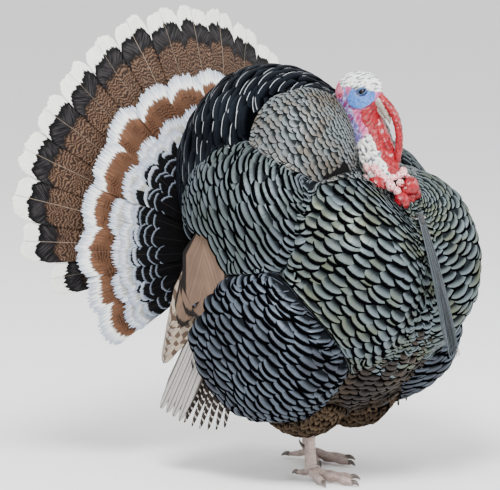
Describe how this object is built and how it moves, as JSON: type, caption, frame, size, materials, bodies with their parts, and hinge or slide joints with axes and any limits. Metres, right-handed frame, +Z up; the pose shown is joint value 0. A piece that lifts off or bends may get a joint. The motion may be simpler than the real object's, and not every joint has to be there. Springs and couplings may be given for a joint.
{
  "type": "turkey decoy",
  "caption": "Life-size strutting tom turkey decoy with a folding tail fan, swivelling head, hanging beard and pinned drooping wings on two legs.",
  "frame": {"origin": "on the ground under the middle of the overall box", "axes": "+Z up, beak towards -Y, the bird's left side towards +X"},
  "size_m": [0.7542, 0.6371, 0.7496],
  "materials": {
    "shell": "satin",
    "steel": "satin",
    "tube": "satin",
    "flesh": "satin",
    "horn": "satin",
    "eye": "polished",
    "tail_feather": "matte",
    "covert_feather": "matte",
    "wing_feather": "matte",
    "flight_feather": "matte",
    "bristle": "matte",
    "leg_skin": "satin"
  },
  "bodies": {
    "body_frame": {"body_shell_right": "shell", "body_shell_left": "shell", "spine_tube": "tube", "neck_socket": "shell", "leg_rod": "steel", "leg_right": "leg_skin", "leg_left": "leg_skin", "foot_right": "leg_skin", "foot_left": "leg_skin", "tail_clevis": "steel", "tail_hinge_pin": "steel", "wing_pin_right": "steel", "wing_pin_left": "steel", "beard_staple": "steel", "shell_bolt_front": "steel", "shell_bolt_rear": "steel"},
    "head_group": {"neck_post": "steel", "neck": "flesh", "head": "flesh", "beak_upper": "horn", "beak_lower": "horn", "snood": "flesh", "dewlap": "flesh", "caruncles": "flesh", "eye_right": "eye", "eye_left": "eye"},
    "tail_mount": {"tail_bracket": "steel", "fan_bolt": "steel", "fan_nut": "steel"},
    "right_wing": {"wing_right": "wing_feather", "flight_feathers_right": "flight_feather"},
    "left_wing": {"wing_left": "wing_feather", "flight_feathers_left": "flight_feather"},
    "beard_hank": {"beard": "bristle"},
    "tail_feather_right_9_leaf": {"tail_feather_right_9": "tail_feather"},
    "covert_right_1_leaf": {"covert_right_1": "covert_feather"},
    "covert_left_1_leaf": {"covert_left_1": "covert_feather"},
    "covert_right_2_leaf": {"covert_right_2": "covert_feather"},
    "covert_left_2_leaf": {"covert_left_2": "covert_feather"},
    "covert_right_3_leaf": {"covert_right_3": "covert_feather"},
    "covert_left_3_leaf": {"covert_left_3": "covert_feather"},
    "covert_right_4_leaf": {"covert_right_4": "covert_feather"},
    "covert_left_4_leaf": {"covert_left_4": "covert_feather"},
    "tail_feather_right_1_leaf": {"tail_feather_right_1": "tail_feather"},
    "tail_feather_left_1_leaf": {"tail_feather_left_1": "tail_feather"},
    "tail_feather_right_2_leaf": {"tail_feather_right_2": "tail_feather"},
    "tail_feather_left_2_leaf": {"tail_feather_left_2": "tail_feather"},
    "tail_feather_right_3_leaf": {"tail_feather_right_3": "tail_feather"},
    "tail_feather_left_3_leaf": {"tail_feather_left_3": "tail_feather"},
    "tail_feather_right_4_leaf": {"tail_feather_right_4": "tail_feather"},
    "tail_feather_left_4_leaf": {"tail_feather_left_4": "tail_feather"},
    "tail_feather_right_5_leaf": {"tail_feather_right_5": "tail_feather"},
    "tail_feather_left_5_leaf": {"tail_feather_left_5": "tail_feather"},
    "tail_feather_right_6_leaf": {"tail_feather_right_6": "tail_feather"},
    "tail_feather_left_6_leaf": {"tail_feather_left_6": "tail_feather"},
    "tail_feather_right_7_leaf": {"tail_feather_right_7": "tail_feather"},
    "tail_feather_left_7_leaf": {"tail_feather_left_7": "tail_feather"},
    "tail_feather_right_8_leaf": {"tail_feather_right_8": "tail_feather"},
    "tail_feather_left_8_leaf": {"tail_feather_left_8": "tail_feather"},
    "tail_feather_left_9_leaf": {"tail_feather_left_9": "tail_feather"}
  },
  "joints": [
    {"name": "neck_swivel", "type": "hinge", "parent": "body_frame", "child": "head_group", "pos_m": [0, -0.178, 0.483], "axis": [0, 0.4179, 0.9085], "range_deg": [-55, 35]},
    {"name": "tail_tilt", "type": "hinge", "parent": "body_frame", "child": "tail_mount", "pos_m": [0, 0.138, 0.326], "axis": [-1, 0, 0], "range_deg": [0, 20]},
    {"name": "fan_fold", "type": "hinge", "parent": "tail_mount", "child": "tail_feather_right_9_leaf", "pos_m": [0, 0.1557, 0.352], "axis": [0, 1, 0], "range_deg": [0, 80]},
    {"name": "fold_covert_right_1", "type": "hinge", "parent": "tail_mount", "child": "covert_right_1_leaf", "pos_m": [0, 0.1557, 0.352], "axis": [0, 1, 0], "range_deg": [0, 13.18]},
    {"name": "fold_covert_left_1", "type": "hinge", "parent": "tail_mount", "child": "covert_left_1_leaf", "pos_m": [0, 0.1557, 0.352], "axis": [0, 1, 0], "range_deg": [-13.18, 0]},
    {"name": "fold_covert_right_2", "type": "hinge", "parent": "tail_mount", "child": "covert_right_2_leaf", "pos_m": [0, 0.1557, 0.352], "axis": [0, 1, 0], "range_deg": [0, 39.44]},
    {"name": "fold_covert_left_2", "type": "hinge", "parent": "tail_mount", "child": "covert_left_2_leaf", "pos_m": [0, 0.1557, 0.352], "axis": [0, 1, 0], "range_deg": [-39.44, 0]},
    {"name": "fold_covert_right_3", "type": "hinge", "parent": "tail_mount", "child": "covert_right_3_leaf", "pos_m": [0, 0.1557, 0.352], "axis": [0, 1, 0], "range_deg": [0, 65.7]},
    {"name": "fold_covert_left_3", "type": "hinge", "parent": "tail_mount", "child": "covert_left_3_leaf", "pos_m": [0, 0.1557, 0.352], "axis": [0, 1, 0], "range_deg": [-65.7, 0]},
    {"name": "fold_covert_right_4", "type": "hinge", "parent": "tail_mount", "child": "covert_right_4_leaf", "pos_m": [0, 0.1557, 0.352], "axis": [0, 1, 0], "range_deg": [0, 91.96]},
    {"name": "fold_covert_left_4", "type": "hinge", "parent": "tail_mount", "child": "covert_left_4_leaf", "pos_m": [0, 0.1557, 0.352], "axis": [0, 1, 0], "range_deg": [-91.96, 0]},
    {"name": "fold_tail_feather_right_1", "type": "hinge", "parent": "tail_mount", "child": "tail_feather_right_1_leaf", "pos_m": [0, 0.1557, 0.352], "axis": [0, 1, 0], "range_deg": [0, 4.76]},
    {"name": "fold_tail_feather_left_1", "type": "hinge", "parent": "tail_mount", "child": "tail_feather_left_1_leaf", "pos_m": [0, 0.1557, 0.352], "axis": [0, 1, 0], "range_deg": [-4.76, 0]},
    {"name": "fold_tail_feather_right_2", "type": "hinge", "parent": "tail_mount", "child": "tail_feather_right_2_leaf", "pos_m": [0, 0.1557, 0.352], "axis": [0, 1, 0], "range_deg": [0, 14.17]},
    {"name": "fold_tail_feather_left_2", "type": "hinge", "parent": "tail_mount", "child": "tail_feather_left_2_leaf", "pos_m": [0, 0.1557, 0.352], "axis": [0, 1, 0], "range_deg": [-14.17, 0]},
    {"name": "fold_tail_feather_right_3", "type": "hinge", "parent": "tail_mount", "child": "tail_feather_right_3_leaf", "pos_m": [0, 0.1557, 0.352], "axis": [0, 1, 0], "range_deg": [0, 23.58]},
    {"name": "fold_tail_feather_left_3", "type": "hinge", "parent": "tail_mount", "child": "tail_feather_left_3_leaf", "pos_m": [0, 0.1557, 0.352], "axis": [0, 1, 0], "range_deg": [-23.58, 0]},
    {"name": "fold_tail_feather_right_4", "type": "hinge", "parent": "tail_mount", "child": "tail_feather_right_4_leaf", "pos_m": [0, 0.1557, 0.352], "axis": [0, 1, 0], "range_deg": [0, 32.99]},
    {"name": "fold_tail_feather_left_4", "type": "hinge", "parent": "tail_mount", "child": "tail_feather_left_4_leaf", "pos_m": [0, 0.1557, 0.352], "axis": [0, 1, 0], "range_deg": [-32.99, 0]},
    {"name": "fold_tail_feather_right_5", "type": "hinge", "parent": "tail_mount", "child": "tail_feather_right_5_leaf", "pos_m": [0, 0.1557, 0.352], "axis": [0, 1, 0], "range_deg": [0, 42.4]},
    {"name": "fold_tail_feather_left_5", "type": "hinge", "parent": "tail_mount", "child": "tail_feather_left_5_leaf", "pos_m": [0, 0.1557, 0.352], "axis": [0, 1, 0], "range_deg": [-42.4, 0]},
    {"name": "fold_tail_feather_right_6", "type": "hinge", "parent": "tail_mount", "child": "tail_feather_right_6_leaf", "pos_m": [0, 0.1557, 0.352], "axis": [0, 1, 0], "range_deg": [0, 51.81]},
    {"name": "fold_tail_feather_left_6", "type": "hinge", "parent": "tail_mount", "child": "tail_feather_left_6_leaf", "pos_m": [0, 0.1557, 0.352], "axis": [0, 1, 0], "range_deg": [-51.81, 0]},
    {"name": "fold_tail_feather_right_7", "type": "hinge", "parent": "tail_mount", "child": "tail_feather_right_7_leaf", "pos_m": [0, 0.1557, 0.352], "axis": [0, 1, 0], "range_deg": [0, 61.23]},
    {"name": "fold_tail_feather_left_7", "type": "hinge", "parent": "tail_mount", "child": "tail_feather_left_7_leaf", "pos_m": [0, 0.1557, 0.352], "axis": [0, 1, 0], "range_deg": [-61.23, 0]},
    {"name": "fold_tail_feather_right_8", "type": "hinge", "parent": "tail_mount", "child": "tail_feather_right_8_leaf", "pos_m": [0, 0.1557, 0.352], "axis": [0, 1, 0], "range_deg": [0, 70.64]},
    {"name": "fold_tail_feather_left_8", "type": "hinge", "parent": "tail_mount", "child": "tail_feather_left_8_leaf", "pos_m": [0, 0.1557, 0.352], "axis": [0, 1, 0], "range_deg": [-70.64, 0]},
    {"name": "fold_tail_feather_left_9", "type": "hinge", "parent": "tail_mount", "child": "tail_feather_left_9_leaf", "pos_m": [0, 0.1557, 0.352], "axis": [0, 1, 0], "range_deg": [-80.05, 0]},
    {"name": "wing_right_swing", "type": "hinge", "parent": "body_frame", "child": "right_wing", "pos_m": [-0.19, 0, 0.335], "axis": [1, 0, 0], "range_deg": [-12, 8]},
    {"name": "wing_left_swing", "type": "hinge", "parent": "body_frame", "child": "left_wing", "pos_m": [0.19, 0, 0.335], "axis": [1, 0, 0], "range_deg": [-4, 24]},
    {"name": "beard_swing", "type": "hinge", "parent": "body_frame", "child": "beard_hank", "pos_m": [0, -0.235, 0.44], "axis": [-1, 0, 0], "range_deg": [0, 30]}
  ],
  "couplings": [
    {"joint": "fold_covert_right_1", "follows": "fan_fold", "ratio": 0.16413},
    {"joint": "fold_covert_left_1", "follows": "fan_fold", "ratio": -0.16413},
    {"joint": "fold_covert_right_2", "follows": "fan_fold", "ratio": 0.49238},
    {"joint": "fold_covert_left_2", "follows": "fan_fold", "ratio": -0.49238},
    {"joint": "fold_covert_right_3", "follows": "fan_fold", "ratio": 0.82064},
    {"joint": "fold_covert_left_3", "follows": "fan_fold", "ratio": -0.82064},
    {"joint": "fold_covert_right_4", "follows": "fan_fold", "ratio": 1.1489},
    {"joint": "fold_covert_left_4", "follows": "fan_fold", "ratio": -1.1489},
    {"joint": "fold_tail_feather_right_1", "follows": "fan_fold", "ratio": 0.058824},
    {"joint": "fold_tail_feather_left_1", "follows": "fan_fold", "ratio": -0.058824},
    {"joint": "fold_tail_feather_right_2", "follows": "fan_fold", "ratio": 0.17647},
    {"joint": "fold_tail_feather_left_2", "follows": "fan_fold", "ratio": -0.17647},
    {"joint": "fold_tail_feather_right_3", "follows": "fan_fold", "ratio": 0.29412},
    {"joint": "fold_tail_feather_left_3", "follows": "fan_fold", "ratio": -0.29412},
    {"joint": "fold_tail_feather_right_4", "follows": "fan_fold", "ratio": 0.41176},
    {"joint": "fold_tail_feather_left_4", "follows": "fan_fold", "ratio": -0.41176},
    {"joint": "fold_tail_feather_right_5", "follows": "fan_fold", "ratio": 0.52941},
    {"joint": "fold_tail_feather_left_5", "follows": "fan_fold", "ratio": -0.52941},
    {"joint": "fold_tail_feather_right_6", "follows": "fan_fold", "ratio": 0.64706},
    {"joint": "fold_tail_feather_left_6", "follows": "fan_fold", "ratio": -0.64706},
    {"joint": "fold_tail_feather_right_7", "follows": "fan_fold", "ratio": 0.76471},
    {"joint": "fold_tail_feather_left_7", "follows": "fan_fold", "ratio": -0.76471},
    {"joint": "fold_tail_feather_right_8", "follows": "fan_fold", "ratio": 0.88235},
    {"joint": "fold_tail_feather_left_8", "follows": "fan_fold", "ratio": -0.88235},
    {"joint": "fold_tail_feather_left_9", "follows": "fan_fold", "ratio": -1}
  ]
}
